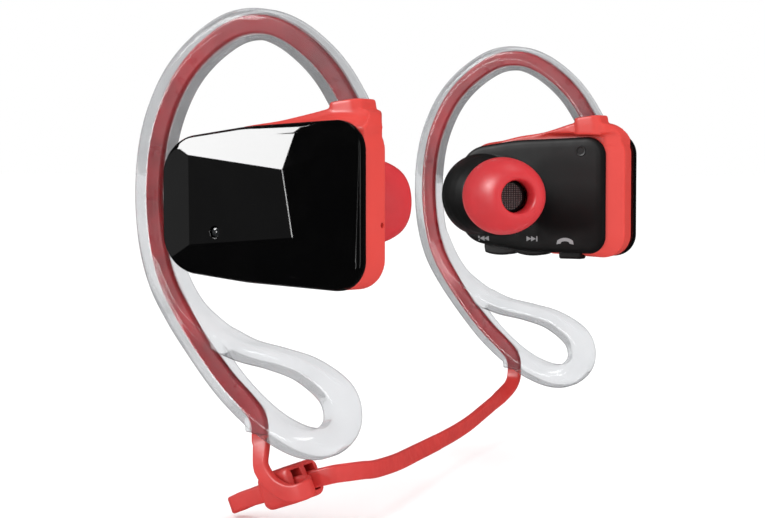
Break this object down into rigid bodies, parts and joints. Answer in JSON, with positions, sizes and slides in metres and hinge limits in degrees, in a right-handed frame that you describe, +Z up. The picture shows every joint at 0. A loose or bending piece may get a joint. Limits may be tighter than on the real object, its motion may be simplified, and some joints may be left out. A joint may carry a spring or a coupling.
{
  "type": "neckband earphones",
  "caption": "Sports neckband earphones: canted in-ear housings on clear ear hooks, joined behind the neck by a flat cable with a slider.",
  "frame": {"origin": "midway between the two ear hooks, at the height of their inner top, where they rest on the ears", "axes": "+X towards the wearer's front, +Y towards the wearer's left, +Z up"},
  "size_m": [0.0431, 0.118, 0.077],
  "materials": {
    "red_frame": "satin moulded",
    "gloss_black": "polished",
    "matte_black": "fine satin",
    "clear_rubber": "clear, glossy",
    "red_cable": "satin",
    "red_silicone": "soft matt silicone",
    "steel": "plain",
    "cell_foil": "satin foil",
    "board_green": "solder mask",
    "diaphragm": "thin film",
    "seal_rubber": "matt"
  },
  "bodies": {
    "root": {"right_outer_cover": "gloss_black", "right_frame": "red_frame", "right_inner_cover": "matte_black", "right_cover_gasket": "seal_rubber", "right_ear_hook": "clear_rubber", "right_hook_cable": "red_cable", "right_nozzle_mesh": "steel", "right_driver": "steel", "right_diaphragm": "diaphragm", "right_circuit_board": "board_green", "right_battery": "cell_foil", "right_status_led": "clear_rubber", "left_outer_cover": "gloss_black", "left_frame": "red_frame", "left_inner_cover": "matte_black", "left_cover_gasket": "seal_rubber", "left_ear_hook": "clear_rubber", "left_hook_cable": "red_cable", "left_nozzle_mesh": "steel", "left_driver": "steel", "left_diaphragm": "diaphragm", "left_circuit_board": "board_green", "left_battery": "cell_foil", "left_status_led": "clear_rubber", "previous_switch": "steel", "next_switch": "steel", "call_switch": "steel", "microphone": "steel", "charging_socket": "steel", "neck_cable": "red_cable"},
    "right_tip": {"right_ear_tip": "red_silicone"},
    "left_tip": {"left_ear_tip": "red_silicone"},
    "rocker": {"rocker_button": "matte_black"},
    "call": {"call_button": "matte_black"},
    "port_flap": {"port_cover": "seal_rubber"},
    "slider": {"cable_slider": "red_cable"}
  },
  "joints": [
    {"name": "rocker_tilt", "type": "hinge", "parent": "root", "child": "rocker", "pos_m": [-0.0007, 0.0486, -0.0324], "axis": [0, 1, 0], "range_deg": [-2.5, 2.5], "stiffness_Nm_per_rad": 0.1},
    {"name": "call_press", "type": "slide", "parent": "root", "child": "call", "axis": [0, 0, 1], "range_m": [0, 0.0004], "stiffness_N_per_m": 800},
    {"name": "port_cover_open", "type": "hinge", "parent": "root", "child": "port_flap", "pos_m": [0, -0.0496, -0.03555], "axis": [0, 1, 0], "range_deg": [0, 76]},
    {"name": "right_tip_pull", "type": "slide", "parent": "root", "child": "right_tip", "axis": [0.6157, 0.788, 0], "range_m": [0, 0.012]},
    {"name": "left_tip_pull", "type": "slide", "parent": "root", "child": "left_tip", "axis": [0.6157, -0.788, 0], "range_m": [0, 0.012]},
    {"name": "slider_slide", "type": "slide", "parent": "root", "child": "slider", "axis": [-0.8897, 0.3292, -0.3163], "range_m": [0, 0.004]}
  ]
}
